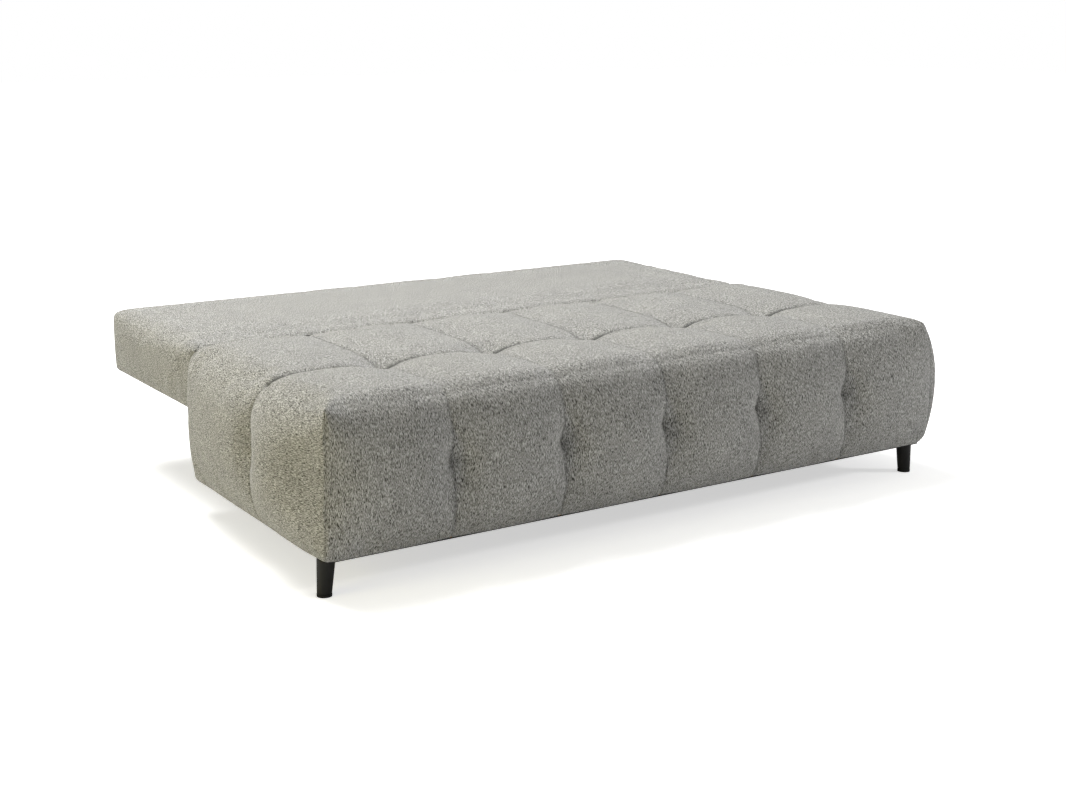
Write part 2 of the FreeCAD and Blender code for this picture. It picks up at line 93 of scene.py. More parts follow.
def only(piece):
    """Selects one piece alone and makes it active."""
    start_fresh()
    piece.select_set(True)
    bpy.context.view_layer.objects.active = piece
    return piece


def grid_block(name, low, high, cells):
    """A box from low to high, with so many cells along x, y and z."""
    start_fresh()
    bpy.ops.mesh.primitive_cube_add(size=1, location=(low + high) / 2)
    block = bpy.context.object
    block.name = name
    block.scale = high - low
    bpy.ops.object.transform_apply(location=True, rotation=True, scale=True)
    bpy.ops.object.mode_set(mode="EDIT")
    bpy.ops.mesh.select_mode(type="EDGE")
    for axis, number in enumerate(cells):
        bpy.ops.mesh.select_all(action="DESELECT")
        mesh = bmesh.from_edit_mesh(block.data)
        for edge in mesh.edges:
            along = edge.verts[1].co - edge.verts[0].co
            edge.select_set(abs(along[axis]) > along.length * 0.9)
        bmesh.update_edit_mesh(block.data)
        bpy.ops.mesh.subdivide(number_cuts=number - 1)
    bpy.ops.object.mode_set(mode="OBJECT")
    print(name, "grid", len(block.data.vertices), "points")
    return block


def apply_modifiers(piece):
    """Applies every modifier of the piece, in order."""
    only(piece)
    for modifier in list(piece.modifiers):
        bpy.ops.object.modifier_apply(modifier=modifier.name)


# %% [markdown]
# ## Rounding the edges
#
# Foam under a stretched cover has soft edges, and each edge of this object has a radius of
# its own: large along the top, small where a seam runs down a corner. Each rounding works in
# one cross-section: near the corner, the square outline is drawn in onto a circle.

# %% Rounded corners in one cross-section


def round_corner(point, axes, corner, inward, radius):
    """Draws the point in onto a circle if it is within the radius of a corner."""
    a, b = axes
    from_a = (corner[0] + inward[0] * radius - point[a]) * inward[0]
    from_b = (corner[1] + inward[1] * radius - point[b]) * inward[1]
    if from_a <= 0 or from_b <= 0:
        return
    shrink = max(from_a, from_b) / math.hypot(from_a, from_b)
    point[a] = corner[0] + inward[0] * (radius - from_a * shrink)
    point[b] = corner[1] + inward[1] * (radius - from_b * shrink)


def hill(t, power):
    """1 in the middle of 0..1, falling to 0 at both ends. A higher power makes it flatter."""
    return max(0.0, 1 - abs(2 * t - 1) ** power)


print("half way up a hill of power 2:", hill(0.25, 2), "and of power 6:", round(hill(0.25, 6), 2))


# %% [markdown]
# ## The seat's pattern of seams
#
# Five seams cross the top from the fold line to the front edge and run on down the front
# face. One seam runs the whole width and down both ends. Where two seams cross, and half way
# down the front and the ends, a stitch through the foam makes a tuft.

# %% Seams and tufts
PANELS = 6
front_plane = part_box("seat_front_rail")[0].y - 2 * MM
half_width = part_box("back_cushion")[1].x
fold_plane = seat_high.y
floor_gap = seat_low.z
top_plane = seat_high.z
block_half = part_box("seat_right_end_rail")[1].x + 2 * MM
seat_depth = fold_plane - front_plane
seat_rise = top_plane - floor_gap
panel_width = 2 * half_width / PANELS
cross_seams = [panel_width * (number - PANELS / 2) for number in range(1, PANELS)]
long_seam = front_plane + 338 * MM
tuft_height = 285 * MM
print("panel width", round(panel_width, 3), "long seam", round(long_seam, 3))


def nearest(value, places):
    """How far a value is from the nearest of several places."""
    return min(abs(value - place) for place in places)


# %% [markdown]
# ## Grid lines where the seams are
#
# A seam is a few millimetres wide on a block almost two metres wide. A grid fine enough for
# it everywhere would be slow to simulate. So the lines are crowded towards the seams and the
# edges, and every seam lies exactly on one line.

# %% Crowd the grid towards the seams
CELLS_PER_PANEL = 20
DEPTH_CELLS = (24, 32)
HEIGHT_CELLS = 24
CROWDING = 0.5


def crowd(t):
    """Moves grid lines towards the ends of 0..1, where the seams are."""
    return t - CROWDING * math.sin(2 * math.pi * t) / (2 * math.pi)


def spaced(value, stops, counts):
    """The place of grid line number value, crowded towards the stops."""
    for low, high, count in zip(stops, stops[1:], counts):
        if value <= count + 1e-6:
            return low + (high - low) * crowd(min(1.0, value / count))
        value -= count
    return stops[-1]


def seat_lines(point):
    """The grid's even places become places crowded towards the seams."""
    columns = PANELS * CELLS_PER_PANEL
    rows = sum(DEPTH_CELLS)
    across = (point.x + block_half) / (2 * block_half) * columns
    along = (point.y - front_plane) / seat_depth * rows
    up = (point.z - floor_gap) / seat_rise * HEIGHT_CELLS
    lower = round(HEIGHT_CELLS * (tuft_height - floor_gap) / seat_rise)
    return Vector((
        spaced(across, [-block_half] + cross_seams + [block_half], [CELLS_PER_PANEL] * PANELS),
        spaced(along, [front_plane, long_seam, fold_plane], DEPTH_CELLS),
        spaced(up, [floor_gap, tuft_height, top_plane], (lower, HEIGHT_CELLS - lower)),
    ))


print("grid step at a seam", round(panel_width * crowd(1 / CELLS_PER_PANEL) / MM, 1),
      "mm, between seams", round(panel_width * (0.5 - crowd(0.5 - 1 / CELLS_PER_PANEL)) / MM, 1),
      "mm")

# %% [markdown]
# ## Swells, hollows and gathers
#
# The foam swells out between the seams like a barrel: most at mid-height and in the middle
# of each face. Each tuft pulls a hollow that fades out over a hand's width, so that a seam
# is deep at its tufts and nearly level with the foam between them. Small functions add up
# better here than sculpting, because each one can be measured and changed alone.

# %% The shapes that foam takes


def panel_hill(value, stops, power=2):
    """1 in the middle of each panel between the stops, 0 on the stops."""
    for low, high in zip(stops, stops[1:]):
        if low <= value <= high:
            return hill((value - low) / (high - low), power)
    return 0.0


def dimple(distance, depth, reach):
    """A hollow that fades away from its middle."""
    soft = 5 * MM
    return depth * math.exp(-(math.hypot(distance, soft) - soft) / reach)


def creases(du, dv, depth, reach):
    """Small gathers that run out from a tuft."""
    distance = math.hypot(du, dv)
    turn = math.atan2(dv, du)
    rising = min(1.0, distance / (14 * MM))
    return depth * rising * math.cos(6 * turn + 0.6) * math.exp(-distance / reach)


def tuft(du, dv, pinch, hollow, wide=45 * MM, long=45 * MM):
    """A tuft: a narrow pinch in a wide hollow, with small gathers running out of it."""
    return (dimple(math.hypot(du, dv), pinch, 11 * MM)
            + dimple(math.hypot(du, dv * wide / long), hollow, wide)
            + creases(du, dv, 1.8 * MM, 24 * MM))


def low_swell(z):
    """A swell that is still strong at the underside and is gone at the top."""
    lift = 60 * MM
    return hill((z - floor_gap + lift) / (seat_rise + lift), 2.4)


def mid_swell(z):
    """A swell that is gone at the underside and at the top."""
    return hill((z - floor_gap) / seat_rise, 2.2)


print("hollow at a tuft, then 45 mm and 90 mm away:",
      [round(tuft(away * MM, 0, 9 * MM, 30 * MM) / MM) for away in (0, 45, 90)], "mm")

# %% [markdown]
# ## The three upholstered faces
#
# The front, the ends and the top each get one function: how far a point of that face stands
# out from the flat block. The front and the ends are barrels with tufts at mid-height. Foam
# and covers are fitted by hand, so the two ends differ: the front corner stands straight on
# the left and bows out on the right.

# %% How far each face stands out
X_STOPS = [-block_half] + cross_seams + [block_half]
Y_STOPS = [front_plane, long_seam, fold_plane]
CORNER_LEAN = 15 * MM


def front_swell(x, z):
    """How far the front face stands out at (x, z)."""
    barrel = 30 * MM * (1 - abs(x / block_half) ** 6)
    puff = 15 * MM * panel_hill(x, X_STOPS)
    swell = 10 * MM * low_swell(z) + mid_swell(z) * (barrel + puff)
    for seam in cross_seams:
        swell -= tuft(x - seam, z - tuft_height, 9 * MM, 30 * MM, 28 * MM, 70 * MM)
    return swell


def end_swell(side, y, z):
    """How far the end on that side stands out at (y, z)."""
    share = (y - front_plane) / seat_depth
    edges = 28 * MM + share * (6 * MM - 28 * MM)
    barrel = 46 * MM * hill(share, 30) * (1 - 0.8 * share)
    puff = 8 * MM * panel_hill(y, Y_STOPS)
    swell = edges * low_swell(z) + mid_swell(z) * (barrel + puff)
    if side < 0:
        straight = CORNER_LEAN * (1 - (z - floor_gap) / seat_rise)
        swell += (straight - swell) * math.exp(-(share / 0.16) ** 2)
    return swell - tuft(y - long_seam, z - tuft_height, 8 * MM, 22 * MM, 32 * MM, 70 * MM)


def top_swell(x, y):
    """How far the top rises at (x, y)."""
    rise = 10 * MM * panel_hill(x, X_STOPS) * panel_hill(y, Y_STOPS)
    rise += 4 * MM * panel_hill(x, X_STOPS)
    for seam in cross_seams:
        rise -= tuft(x - seam, y - long_seam, 12 * MM, 16 * MM)
    across_end = dimple(abs(y - long_seam), 5 * MM, 25 * MM)
    rise -= across_end * abs(x / block_half) ** 8
    return rise


print("the front stands out", round(front_swell(panel_width / 2, tuft_height) / MM), "mm and is",
      round(front_swell(panel_width, tuft_height) / MM), "mm out at a tuft")

# %% [markdown]
# ## From the flat block to the seat
#
# First the edges are rounded, each with its own radius. Then the swells are added. The swell
# of a face fades out over the neighbouring faces, so that nothing breaks at an edge. Last, the
# rim of the underside is drawn down a little round the board that closes it.

# %% Where each point of the seat block goes
NEAR = 1e-4
FADE = 70 * MM
BOARD_GAP = 1.5 * MM


def shape_seat(point):
    """Where a point of the box goes: on the flat block, and on the finished seat."""
    place = seat_lines(point)
    shaped = place.copy()
    from_front = place.y - front_plane
    from_end = block_half - abs(place.x)
    from_top = top_plane - place.z
    front_radius = (15 + 27 * min(1.0, from_end / (130 * MM))) * MM
    for corner, inward, radius in (
            ((front_plane, top_plane), (1, -1), front_radius),
            ((fold_plane, top_plane), (-1, -1), 20 * MM),
            ((front_plane, floor_gap), (1, 1), 18 * MM),
            ((fold_plane, floor_gap), (-1, 1), 6 * MM)):
        round_corner(shaped, (1, 2), corner, inward, radius)
    behind = min(1.0, from_front / (110 * MM))
    top_radius = (14 + 30 * behind) * MM
    low_radius = (26 - 14 * behind) * MM
    for side in (-1, 1):
        round_corner(shaped, (0, 2), (side * block_half, top_plane), (-side, -1), top_radius)
        round_corner(shaped, (0, 2), (side * block_half, floor_gap), (-side, 1), low_radius)
        round_corner(shaped, (0, 1), (side * block_half, front_plane), (-side, 1), 9 * MM)
        round_corner(shaped, (0, 1), (side * block_half, fold_plane), (-side, -1), 14 * MM)
    front_share = math.exp(-(from_front / FADE) ** 2)
    end_share = math.exp(-(from_end / FADE) ** 2)
    top_share = math.exp(-(from_top / FADE) ** 2)
    near_fold = min(1.0, (fold_plane - place.y) / (60 * MM))
    shaped.y -= front_share * front_swell(place.x, place.z)
    side = math.copysign(1, place.x)
    shaped.x += side * end_share * end_swell(side, place.y, place.z) * min(
        1.0, abs(place.x) / panel_width)
    shaped.z += top_share * (
        top_swell(place.x, place.y) * near_fold - 4 * MM * (1 - near_fold))
    if place.z < floor_gap + NEAR:
        from_edge = min(from_front, from_end, fold_plane - place.y)
        shaped.z += BOARD_GAP - 3.5 * MM * math.exp(-(from_edge / (30 * MM)) ** 4)
    return place, shaped


place, shaped = shape_seat(Vector((block_half, front_plane, tuft_height)))
print("the right front corner bows out", round((shaped.x - place.x) / MM), "mm")

# %% [markdown]
# ## Letting the cover settle
#
# The shape above is smooth. A real cover is cloth under tension: pulled down along its seams
# and blown up by the foam in between. A short cloth simulation with a little pressure gives
# that, with the seams, the underside and the fold face pinned. Points may move only a few
# millimetres, so the cushion keeps the size that the frame gives it.

# %% Let a cover settle as cloth
FRAMES = 20


def settle(piece, pinned, pressure, slack, cap):
    """Runs a short cloth simulation and keeps its result, within cap of the start."""
    before = [vertex.co.copy() for vertex in piece.data.vertices]
    pins = piece.vertex_groups.new(name="pins")
    for index, strength in pinned.items():
        pins.add([index], strength, "REPLACE")
    only(piece)
    cloth = piece.modifiers.new("cloth", "CLOTH")
    cloth.settings.vertex_group_mass = "pins"
    cloth.settings.quality = 6
    cloth.settings.mass = 0.4
    cloth.settings.tension_stiffness = 12
    cloth.settings.compression_stiffness = 12
    cloth.settings.shear_stiffness = 6
    cloth.settings.bending_stiffness = 0.6
    cloth.settings.use_pressure = True
    cloth.settings.uniform_pressure_force = pressure
    cloth.settings.shrink_min = -slack
    cloth.settings.effector_weights.gravity = 0
    cloth.point_cache.frame_start = 1
    cloth.point_cache.frame_end = FRAMES
    for number in range(1, FRAMES + 1):
        bpy.context.scene.frame_set(number)
    bpy.ops.object.modifier_apply(modifier=cloth.name)
    bpy.context.scene.frame_set(1)
    furthest = 0.0
    for vertex, start in zip(piece.data.vertices, before):
        move = vertex.co - start
        furthest = max(furthest, move.length)
        if move.length > cap:
            vertex.co = start + move.normalized() * cap
    piece.vertex_groups.remove(piece.vertex_groups["pins"])
    print(piece.name, "settled by up to", round(furthest / MM, 1), "mm, kept within",
          round(cap / MM, 1), "mm")


# %% [markdown]
# ## Pressing the seams in
#
# A stitched seam is a narrow groove. After subdivision there are enough points to press it in
# along the normals. Each point first has to know where it was on the box, and an attribute
# keeps that through the subdivision. The same mark paints shade into the groove in the material,
# as a darker line.

# %% Smooth the surface and press the seams in


def remember_places(piece, places):
    """Keeps each point's place on the box as an attribute, which subdivision carries on."""
    layer = piece.data.attributes.new("place", "FLOAT_VECTOR", "POINT")
    for entry, place in zip(layer.data, places):
        entry.vector = place


def subdivide_smoothly(piece):
    """Subdivides the piece's surface once and shades it smooth."""
    piece.modifiers.new("smooth", "SUBSURF").levels = 1
    apply_modifiers(piece)
    bpy.ops.object.shade_smooth()


def press_seams(piece, mark_at, depth):
    """Presses a sewn groove in along the seams and marks it for the painted seam shade in the
    material.
    """
    places = piece.data.attributes["place"].data
    marks = [mark_at(Vector(entry.vector)) for entry in places]
    normals = [vertex.normal.copy() for vertex in piece.data.vertices]
    for vertex, normal, mark in zip(piece.data.vertices, normals, marks):
        vertex.co -= normal * depth * mark
    # The seam attribute carries painted shade: the material darkens the grooves by it.
    layer = piece.data.attributes.new("seam", "FLOAT", "POINT")
    for entry, mark in zip(layer.data, marks):
        entry.value = mark
    print(piece.name, "has", sum(mark > 0.2 for mark in marks), "of", len(marks),
          "points in its seams")


# %% [markdown]
# ## Which seams show, and how much
#
# The long seam is a deep groove with two layers of folded cloth. The cross seams are single
# stitched lines, fainter in front. At the corners the cover is closed by one more seam. Each
# seam's strength sets both the depth of its groove and the painted shade in it.

# %% Mark the seams


# Each strength below sets both how deep the groove is pressed and how much painted shade darkens
# it.
def seat_seams(place):
    """The seams near a place on the box: how far away, how strong and how wide each is."""
    on_front = place.y < front_plane + NEAR
    on_top = place.z > top_plane - NEAR
    on_end = abs(place.x) > block_half - NEAR
    if on_front:
        yield nearest(place.x, cross_seams), 0.5, 3.5 * MM
    if on_top:
        behind = place.y > long_seam
        yield nearest(place.x, cross_seams), 0.6 if behind else 0.35, 3.5 * MM
        yield abs(place.y - long_seam), 1.0, 7 * MM
    if on_end:
        yield abs(place.y - long_seam), 0.5, 3.5 * MM
    if (on_front or on_end) and place.z < top_plane - 20 * MM:
        yield math.hypot(block_half - abs(place.x), place.y - front_plane), 0.4, 3.5 * MM


def seat_mark(place):
    """How much of a seam there is at a place on the box, from 0 to 1."""
    return max([strength * math.exp(-(distance / width) ** 2)
                for distance, strength, width in seat_seams(place)], default=0.0)


# %% [markdown]
# ## Make the seat's upholstery
#
# Now the pieces come together: the gridded block is shaped, settled as cloth, subdivided once
# and pressed in along its seams. It stands for the foam pieces of the CAD model and rides on
# the same body.

# %% Make the seat's upholstery
tuft_places = [Vector((x, front_plane, tuft_height)) for x in cross_seams]
tuft_places += [Vector((x, long_seam, top_plane)) for x in cross_seams]
tuft_places += [Vector((x, long_seam, tuft_height)) for x in (-block_half, block_half)]


def make_seat():
    """The shaped, settled and sewn seat cushion."""
    low = Vector((-block_half, front_plane, floor_gap))
    high = Vector((block_half, fold_plane, top_plane))
    cells = (PANELS * CELLS_PER_PANEL, sum(DEPTH_CELLS), HEIGHT_CELLS)
    seat = grid_block("seat_upholstery", low, high, cells)
    places, pinned = [], {}
    for vertex in seat.data.vertices:
        place, vertex.co = shape_seat(vertex.co)
        places.append(place)
        fixed = place.z < floor_gap + NEAR or place.y > fold_plane - NEAR
        if fixed or any(distance < 1 * MM for distance, _, _ in seat_seams(place)):
            pinned[vertex.index] = 1.0
        elif min((place - point).length for point in tuft_places) < 45 * MM:
            pinned[vertex.index] = 0.7
    remember_places(seat, places)
    settle(seat, pinned, pressure=1.0, slack=0.01, cap=6 * MM)
    subdivide_smoothly(seat)
    press_seams(seat, seat_mark, 4 * MM)
    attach(seat, "seat")
    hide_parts(*seat_nodes)
    return seat


seat = make_seat()
print("seat has", len(seat.data.polygons), "faces")

# %% [markdown]
# ## The backrest
#
# The backrest is plain: a box cushion with a tight cover, rounded along the top and cut
# crisp along the underside. Its fold edge is rounded around the hinge line, so it rolls past
# the seat without touching it. Each hinge plate stands in a slot on the underside.

# %% The backrest's shape
BACK_CELLS = (96, 36, 12)


def shape_back(point):
    """Where a point of the backrest's block goes."""
    shaped = point.copy()
    for corner, inward, radius in (
            ((back_low.y, back_high.z), (1, -1), 30 * MM),
            ((back_high.y, back_high.z), (-1, -1), 26 * MM),
            ((back_low.y, back_low.z), (1, 1), 5 * MM),
            ((back_high.y, back_low.z), (-1, 1), 5 * MM)):
        round_corner(shaped, (1, 2), corner, inward, radius)
    for side in (-1, 1):
        end = side * back_high.x
        round_corner(shaped, (0, 2), (end, back_high.z), (-side, -1), 24 * MM)
        round_corner(shaped, (0, 2), (end, back_low.z), (-side, 1), 5 * MM)
        round_corner(shaped, (0, 1), (end, back_high.y), (-side, -1), 20 * MM)
        round_corner(shaped, (0, 1), (end, back_low.y), (-side, 1), 8 * MM)
    u = (point.x - back_low.x) / (back_high.x - back_low.x)
    v = (point.y - back_low.y) / (back_high.y - back_low.y)
    w = (point.z - back_low.z) / (back_high.z - back_low.z)
    if w > 0.99:
        shaped.z += 5 * MM * hill(u, 6) * hill(max(0.0, (v - 0.13) / 0.87), 4)
    if v > 0.99:
        shaped.y += 5 * MM * hill(w, 2) * hill(u, 8)
    if min(u, 1 - u) < 0.01:
        shaped.x += math.copysign(5 * MM * hill(w, 2) * hill(v, 4), point.x)
    board_low, board_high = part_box("back_cover_board")
    if w < 0.01 and all(board_low[axis] < point[axis] < board_high[axis] for axis in (0, 1)):
        shaped.z += BOARD_GAP
    return shaped


print("the backrest is", round(back_high.z - back_low.z, 3), "m thick")

# %% [markdown]
# ## Slots for the hinge plates
#
# The hinge plates reach into the cushion from its fold edge. Without a slot they would stick
# through the cover when the backrest turns.

# %% Cut the hinge slots
SLOT_GAP = 3 * MM


def cut_hinge_slots(cushion):
    """Cuts the two slots that the hinge plates stand in."""
    for side in ("left", "right"):
        bracket_low, bracket_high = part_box(f"{side}_hinge_bracket")
        arm_low, arm_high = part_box(f"{side}_hinge_arm")
        middle = (bracket_low.x + bracket_high.x) / 2
        outer = max(abs(arm_low.x), abs(arm_high.x)) + SLOT_GAP
        edges = sorted((middle - math.copysign(13 * MM, middle), math.copysign(outer, middle)))
        low = Vector((edges[0], back_low.y - 20 * MM, back_low.z - 20 * MM))
        high = Vector((edges[1], arm_high.y, arm_high.z + SLOT_GAP))
        cutter = grid_block("slot_cutter", low, high, (1, 1, 1))
        slot = cushion.modifiers.new("slot", "BOOLEAN")
        slot.operation = "DIFFERENCE"
        slot.object = cutter
        slot.solver = "EXACT"
        apply_modifiers(cushion)
        bpy.data.objects.remove(cutter)


# %% [markdown]
# ## Make the backrest's upholstery
#
# The underside and the part that turns past the seat are pinned, so that the fold stays free.

# %% Make the backrest
ROLLING_EDGE = 85 * MM


def make_backrest():
    """The shaped, settled and slotted backrest cushion."""
    cushion = grid_block("backrest_upholstery", back_low, back_high, BACK_CELLS)
    pinned = {}
    for vertex in cushion.data.vertices:
        place = vertex.co.copy()
        vertex.co = shape_back(place)
        if place.z < back_low.z + NEAR or place.y < back_low.y + ROLLING_EDGE:
            pinned[vertex.index] = 1.0
    settle(cushion, pinned, pressure=0.25, slack=0.004, cap=5 * MM)
    subdivide_smoothly(cushion)
    cut_hinge_slots(cushion)
    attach(cushion, "backrest")
    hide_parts(*back_nodes)
    return cushion


backrest = make_backrest()
print("backrest has", len(backrest.data.polygons), "faces")

# %% [markdown]
# ## Legs
#
# A turned leg tapers from its head to its foot and leans outwards. One leg is drawn as a
# cylinder of unit size with a few rings cut in. The four legs are copies of it, each fitted
# between the ends of its CAD leg, and then their edges are softened.

# %% Draw one leg


def unit_leg():
    """A cylinder from -0.5 to 0.5 with rings for the soft edges of the head and the foot."""
    start_fresh()
    bpy.ops.mesh.primitive_cylinder_add(vertices=48, radius=1, depth=1, end_fill_type="NGON")
    pattern = bpy.context.object
    bpy.ops.object.mode_set(mode="EDIT")
    for level in (0.44, 0.40, -0.38, -0.42, -0.46):
        bpy.ops.mesh.select_all(action="SELECT")
        bpy.ops.mesh.bisect(plane_co=(0, 0, level), plane_no=(0, 0, 1))
    bpy.ops.object.mode_set(mode="OBJECT")
    return pattern


def fitted_leg(pattern, node, foot_height):
    """A copy of the pattern, tapered and leaning the way that the CAD leg does."""
    low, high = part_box(node)
    side = math.copysign(1, low.x)
    head_radius = (high.y - low.y) / 2
    foot_radius = 17.5 * MM
    lean = 7 * MM
    middle_x = side * (min(abs(low.x), abs(high.x)) + head_radius)
    middle_y = (low.y + high.y) / 2
    head = Vector((middle_x, middle_y, high.z))
    foot = Vector((middle_x + side * lean, middle_y, foot_height))
    leg = bpy.data.objects.new(f"{node}_turned", pattern.data.copy())
    bpy.context.scene.collection.objects.link(leg)
    for vertex in leg.data.vertices:
        share = vertex.co.z + 0.5
        radius = foot_radius + (head_radius - foot_radius) * share
        vertex.co = foot.lerp(head, share) + Vector((vertex.co.x, vertex.co.y, 0)) * radius
    soft = leg.modifiers.new("soft", "BEVEL")
    soft.width = 1.5 * MM
    soft.segments = 2
    soft.limit_method = "ANGLE"
    apply_modifiers(leg)
    bpy.ops.object.shade_smooth_by_angle(angle=math.radians(40))
    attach(leg, "seat")
    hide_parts(node)
    return leg


# %% [markdown]
# ## Copy the leg to its four places
#
# The pattern itself isn't part of the sofa bed, so it is removed once its copies are made.

# %% Make the legs
pattern = unit_leg()
glide_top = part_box("leg_glides")[1].z
legs = [fitted_leg(pattern, node, glide_top) for node in sorted(frame["nodes"])
        if node.endswith("_leg")]
bpy.data.objects.remove(pattern)
print("legs", [leg.name for leg in legs])

# %% [markdown]
# ## Short calls for materials
#
# Every finish here is a small tree of nodes. Each call below adds one node and wires it, so
# that a finish reads as a few lines.

# %% Short calls for nodes


class Nodes:
    """Builds one material. A source is a node with the name or number of its output."""

    def __init__(self, name):
        self.material = bpy.data.materials.new(name)
        self.material.use_nodes = True
        self.tree = self.material.node_tree
        self.tree.nodes.clear()
        self.shader = self.add("ShaderNodeBsdfPrincipled")
        self.link((self.shader, "BSDF"), self.add("ShaderNodeOutputMaterial"), "Surface")
        self.place = self.add("ShaderNodeTexCoord")

    def add(self, kind, **settings):
        """Adds a node of a kind."""
        item = self.tree.nodes.new(kind)
        for key, value in settings.items():
            setattr(item, key, value)
        return item

    def link(self, source, target, socket):
        """Wires a source to a socket of the target node."""
        self.tree.links.new(source[0].outputs[source[1]], target.inputs[socket])

    def put(self, value, target, socket):
        """Links a source, or sets a plain value."""
        if isinstance(value, tuple) and isinstance(value[0], bpy.types.Node):
            self.link(value, target, socket)
        else:
            target.inputs[socket].default_value = value

    def scaled(self, scale):
        """The object's coordinates in metres, times a scale for each axis."""
        mapping = self.add("ShaderNodeMapping")
        mapping.inputs["Scale"].default_value = scale
        self.link((self.place, "Object"), mapping, "Vector")
        return mapping, "Vector"

    def noise(self, vector, detail=2.0, roughness=0.5):
        """Soft noise, one wave to each unit of the vector."""
        item = self.add("ShaderNodeTexNoise")
        item.inputs["Scale"].default_value = 1.0
        item.inputs["Detail"].default_value = detail
        item.inputs["Roughness"].default_value = roughness
        self.link(vector, item, "Vector")
        return item, "Fac"

    def ramp(self, source, stops):
        """Turns a value into a colour, with the colours of the stops."""
        item = self.add("ShaderNodeValToRGB")
        ramp = item.color_ramp
        while len(ramp.elements) < len(stops):
            ramp.elements.new(0.5)
        for element, (position, colour) in zip(ramp.elements, stops):
            element.position = position
            element.color = (*colour, 1)
        self.link(source, item, "Fac")
        return item, "Color"

    def mix(self, share, first, second, blend="MIX"):
        """Mixes two colours. The node's sockets 0, 6 and 7 are the share and the colours."""
        item = self.add("ShaderNodeMix", data_type="RGBA", blend_type=blend)
        for value, socket in ((share, 0), (first, 6), (second, 7)):
            self.put(value, item, socket)
        return item, 2

    def maths(self, operation, *values):
        """One sum, on sources or plain numbers."""
        item = self.add("ShaderNodeMath", operation=operation)
        for socket, value in enumerate(values):
            self.put(value, item, socket)
        return item, "Value"

    def bump(self, height, strength, distance):
        """Gives the shader a fine relief."""
        item = self.add("ShaderNodeBump")
        item.inputs["Strength"].default_value = strength
        item.inputs["Distance"].default_value = distance
        self.link(height, item, "Height")
        self.link((item, "Normal"), self.shader, "Normal")


# %% [markdown]
# ## Cloth finish
#
# The cover is a heathered chenille: soft yarns, light and dark ones side by side, running
# from the fold line to the front and on down. Two stretched noises stand for the warp and the
# weft, finer noise gives their fuzz, and the seam attribute paints shade into the stitched
# grooves, darkening them. On the ends the cloth is laid the other way, so there the noises are
# turned. The noise reads the object's own coordinates, so it stays put when the backrest folds.

# %% Cloth material


def chenille(name, with_painted_seam_shade):
    """The cover's cloth, with or without painted shade that darkens its seam grooves."""
    n = Nodes(name)
    split = n.add("ShaderNodeSeparateXYZ")
    n.link((n.add("ShaderNodeNewGeometry"), "Normal"), split, "Vector")
    on_end = n.maths("GREATER_THAN", n.maths("ABSOLUTE", (split, "X")), 0.72)

    def yarns(scale, end_scale):
        """Stretched noise, turned on the ends. Sockets 0, 4 and 5 mix two vectors."""
        both = n.add("ShaderNodeMix", data_type="VECTOR")
        for value, socket in ((on_end, 0), (n.scaled(scale), 4), (n.scaled(end_scale), 5)):
            n.put(value, both, socket)
        return n.noise((both, 1), 1.5, 0.6)

    warp = yarns((950, 150, 150), (150, 150, 950))
    weft = yarns((210, 640, 640), (640, 640, 210))
    fuzz = n.noise(n.scaled((900, 900, 900)))
    cloudy = n.noise(n.scaled((11, 11, 11)), 3.0)
    body = n.ramp(warp, (
        (0.37, (0.03, 0.03, 0.028)),
        (0.45, (0.215, 0.212, 0.198)),
        (0.55, (0.340, 0.337, 0.320)),
        (0.66, (0.60, 0.595, 0.58))))
    cross = n.ramp(weft, (
        (0.32, (0.66, 0.66, 0.65)),
        (0.45, (0.95, 0.95, 0.95)),
        (0.70, (1.0, 1.0, 1.0))))
    shade = n.ramp(cloudy, ((0.3, (0.88, 0.88, 0.88)), (0.7, (1.0, 1.0, 0.99))))
    colour = n.mix(1.0, n.mix(1.0, body, cross, "MULTIPLY"), shade, "MULTIPLY")
    # Painted shade: the seam attribute mixes the cloth towards near black along the seam grooves,
    # where shade would fall.
    if with_painted_seam_shade:
        seam = n.add("ShaderNodeAttribute", attribute_name="seam")
        colour = n.mix(n.maths("MULTIPLY", (seam, "Fac"), 0.9), colour, (0.04, 0.04, 0.038, 1))
    n.link(colour, n.shader, "Base Color")
    n.shader.inputs["Roughness"].default_value = 0.95
    n.shader.inputs["Sheen Weight"].default_value = 0.2
    n.shader.inputs["Sheen Roughness"].default_value = 0.5
    n.shader.inputs["Specular IOR Level"].default_value = 0.15
    threads = n.maths("MULTIPLY_ADD", weft, 0.7, warp)
    n.bump(n.maths("MULTIPLY_ADD", fuzz, 0.3, threads), 0.4, 1.0 * MM)
    return n.material


def dress(piece, material):
    """Gives a piece one material all over."""
    piece.data.materials.clear()
    piece.data.materials.append(material)


seat_cloth = chenille("chenille_seat", with_painted_seam_shade=True)
back_cloth = chenille("chenille_backrest", with_painted_seam_shade=False)
dress(seat, seat_cloth)
dress(backrest, back_cloth)
print("cloth nodes", len(seat_cloth.node_tree.nodes))

# %% [markdown]
# ## Painted wood, steel, rubber, timber and the black underside cloth
#
# These are mostly out of sight, but the part is looked at from below and with the backrest
# up, so each has its own grain, orange peel or weave.

# %% The other finishes


def grained(name, colours, scale, roughness, bump_strength, metallic=0.0):
    """A finish whose colour and relief follow stretched noise."""
    n = Nodes(name)
    grain = n.noise(n.scaled(scale), 5.0, 0.6)
    n.link(n.ramp(grain, ((0.3, colours[0]), (0.7, colours[1]))), n.shader, "Base Color")
    n.shader.inputs["Roughness"].default_value = roughness
    n.shader.inputs["Metallic"].default_value = metallic
    n.shader.inputs["Specular IOR Level"].default_value = 0.25
    n.bump(grain, bump_strength, 0.4 * MM)
    return n.material


